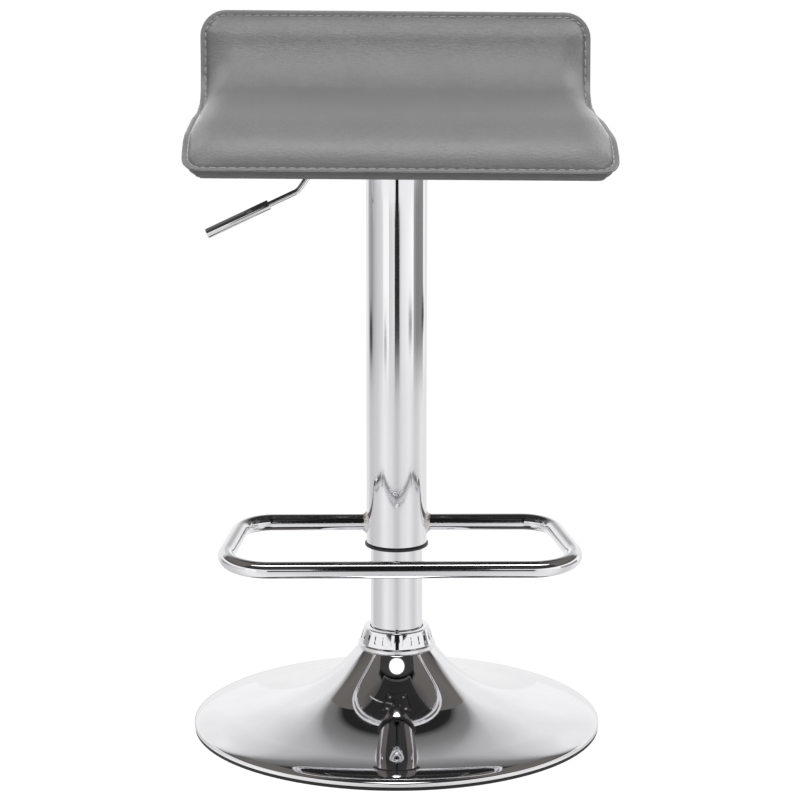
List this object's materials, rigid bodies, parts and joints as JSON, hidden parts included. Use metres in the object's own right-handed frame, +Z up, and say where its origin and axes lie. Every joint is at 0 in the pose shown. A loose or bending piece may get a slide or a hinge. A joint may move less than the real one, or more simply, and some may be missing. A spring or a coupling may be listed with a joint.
{
  "type": "bar stool",
  "caption": "Swivel bar stool: wave-shaped padded seat with a low back on a gas-lift column, with a bent tube footrest, a side release lever and a round trumpet base.",
  "frame": {"origin": "on the floor, under the column's axis", "axes": "+Z up along the column, -Y towards the front of the seat, -X towards the release lever"},
  "size_m": [0.385, 0.4037, 0.6597],
  "materials": {
    "chrome": "polished",
    "steel": "bare steel",
    "zinc": "zinc plated",
    "rubber": "matt",
    "plastic": "matt",
    "leather": "fine pebbled grain",
    "wood": "bare plywood",
    "brass": "bare brass"
  },
  "bodies": {
    "base": {"base_shell": "chrome", "floor_ring": "rubber", "ballast_plate": "steel", "base_socket": "steel", "trim_collar": "chrome", "inner_column": "chrome", "guide_bush": "plastic", "lower_race": "steel", "ball_cage": "brass", "bearing_ball_1": "steel", "bearing_ball_2": "steel", "bearing_ball_3": "steel", "bearing_ball_4": "steel", "bearing_ball_5": "steel", "bearing_ball_6": "steel"},
    "rod": {"upper_race": "steel", "piston_rod": "chrome", "rod_washer": "zinc", "rod_clip": "steel", "bump_stop": "rubber", "piston": "steel", "piston_seal": "rubber", "piston_nut": "zinc"},
    "seat": {"gas_cylinder": "steel", "rod_gland": "plastic", "outer_tube": "chrome", "glide_ring": "plastic", "tube_plug": "steel", "hub_cone": "steel", "footrest_loop": "chrome", "footrest_weld_left": "chrome", "footrest_weld_right": "chrome", "seat_plate": "steel", "packing_block": "wood", "seat_bolt_1": "zinc", "seat_bolt_2": "zinc", "seat_bolt_3": "zinc", "seat_bolt_4": "zinc", "bolt_washer_1": "zinc", "bolt_washer_2": "zinc", "bolt_washer_3": "zinc", "bolt_washer_4": "zinc", "threaded_insert_1": "brass", "threaded_insert_2": "brass", "threaded_insert_3": "brass", "threaded_insert_4": "brass", "lever_bracket": "steel", "pivot_pin": "zinc", "seat_board": "wood", "seat_welt": "leather", "seat_under_cover": "leather", "seat_cushion": "leather"},
    "lever": {"lever_rocker": "zinc", "lever_rod": "chrome", "lever_grip": "chrome"},
    "valve": {"valve_pin": "zinc"}
  },
  "joints": [
    {"name": "swivel", "type": "hinge", "parent": "base", "child": "rod", "pos_m": [0, 0, 0.0223], "axis": [0, 0, 1], "continuous": true},
    {"name": "height_lift", "type": "slide", "parent": "rod", "child": "seat", "axis": [0, 0, 1], "range_m": [0, 0.21]},
    {"name": "lever_lift", "type": "hinge", "parent": "seat", "child": "lever", "pos_m": [-0.03, 0, 0.5485], "axis": [0, 1, 0], "range_deg": [0, 7], "stiffness_Nm_per_rad": 1, "springref_deg": -2.86},
    {"name": "valve_press", "type": "slide", "parent": "seat", "child": "valve", "axis": [0, 0, -1], "range_m": [0, 0.0038]}
  ],
  "couplings": [
    {"joint": "valve_press", "follows": "lever_lift", "m_per_rad": 0.03}
  ]
}
